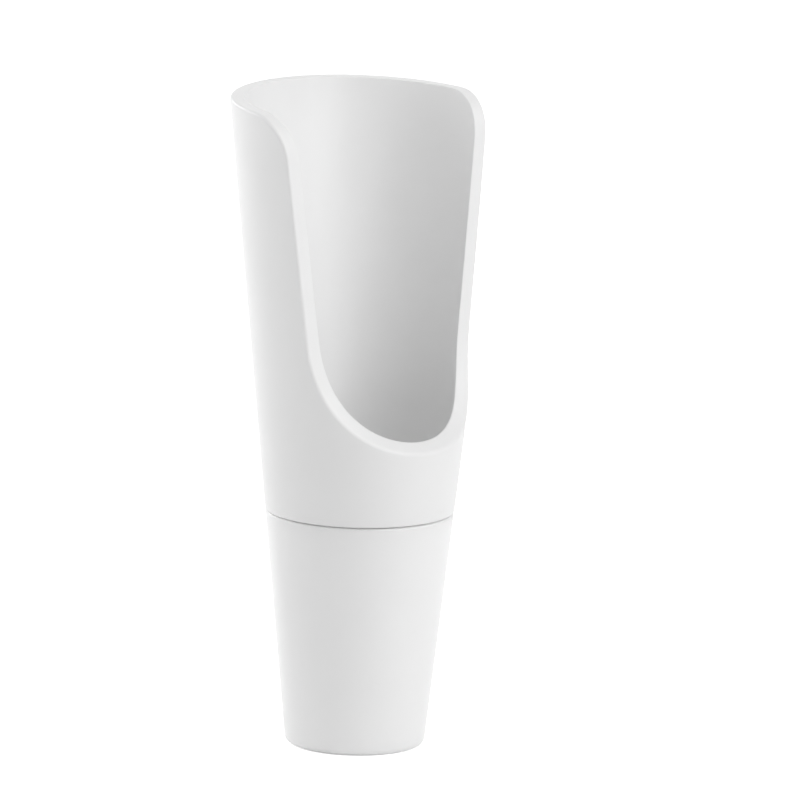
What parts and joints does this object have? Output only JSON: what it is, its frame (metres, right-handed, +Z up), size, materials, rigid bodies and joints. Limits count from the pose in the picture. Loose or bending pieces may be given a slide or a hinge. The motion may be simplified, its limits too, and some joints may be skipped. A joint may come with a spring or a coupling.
{
  "type": "wine pourer",
  "caption": "Open scoop-shaped wine pourer: a half-open tapered spout with a round-bottomed mouth, on a tapered silicone stopper that seals in a bottle neck.",
  "frame": {"origin": "centre of the stopper's base, on the pourer's axis, in the plane that it stands on", "axes": "+Z up along the axis from the stopper's base to the rim; -Y is the side that the mouth opens to; +X completes the right-handed frame, across the mouth"},
  "size_m": [0.0298, 0.0261, 0.0711],
  "materials": {
    "spout": "white moulded ABS, satin, with a very fine even texture",
    "stopper": "white moulded silicone, smooth satin"
  },
  "bodies": {
    "root": {"spout": "spout", "stopper": "stopper"}
  },
  "joints": []
}
